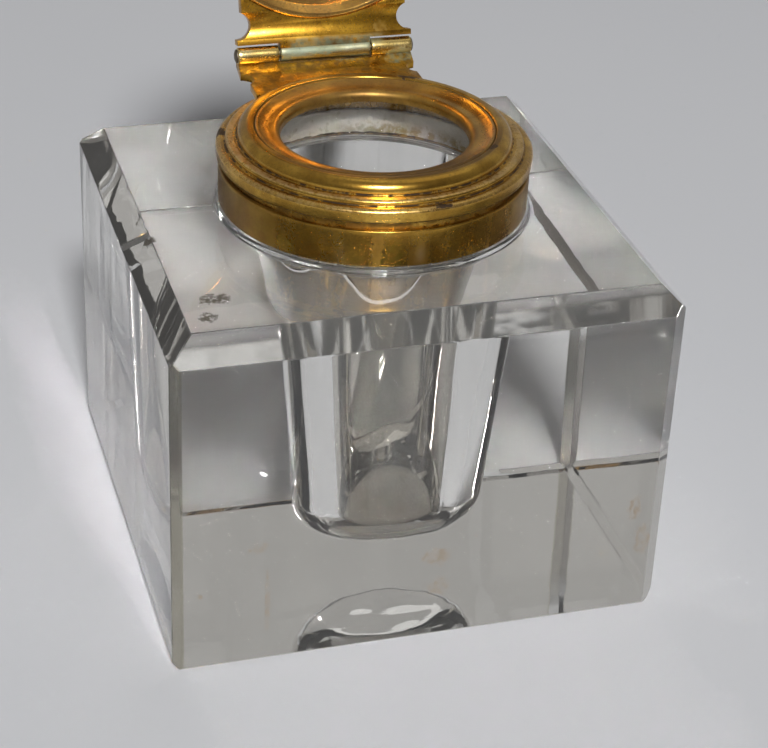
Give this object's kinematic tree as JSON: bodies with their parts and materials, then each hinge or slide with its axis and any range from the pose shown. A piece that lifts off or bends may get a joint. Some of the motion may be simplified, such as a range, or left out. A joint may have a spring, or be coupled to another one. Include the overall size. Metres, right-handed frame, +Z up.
{
  "type": "ink bottle",
  "caption": "Square cut-glass ink bottle with a moulded brass collar and a domed brass lid on a pin hinge.",
  "frame": {"origin": "centre of the glass block's base", "axes": "+Z up, +Y towards the hinge at the back, +X to the right seen from the front"},
  "size_m": [0.06, 0.0653, 0.0908],
  "materials": {
    "crystal": "polished, with small chips and hairline marks",
    "plaster": "crinkled white plaster, stained green in places",
    "band_brass": "dulled gilt brass with an olive patina",
    "gilt_brass": "gilt brass, polished on the high spots and brown in the hollows",
    "worn_brass": "gilding worn off, grey-green",
    "lid_brass": "gilt brass outside, coppery inside",
    "pin_steel": "dark, rusted steel"
  },
  "bodies": {
    "bottle": {"glass_block": "crystal", "neck_cement": "plaster", "collar_band": "band_brass", "collar_rim": "gilt_brass", "collar_throat": "gilt_brass", "collar_leaf": "gilt_brass", "collar_knuckles": "gilt_brass", "hinge_pin": "pin_steel"},
    "lid": {"lid_leaf": "gilt_brass", "lid_knuckle": "worn_brass", "lid_ring": "gilt_brass", "lid_dome": "lid_brass"}
  },
  "joints": [
    {"name": "lid_hinge", "type": "hinge", "parent": "bottle", "child": "lid", "pos_m": [0, 0.021, 0.054], "axis": [1, 0, 0], "range_deg": [0, 105]}
  ]
}
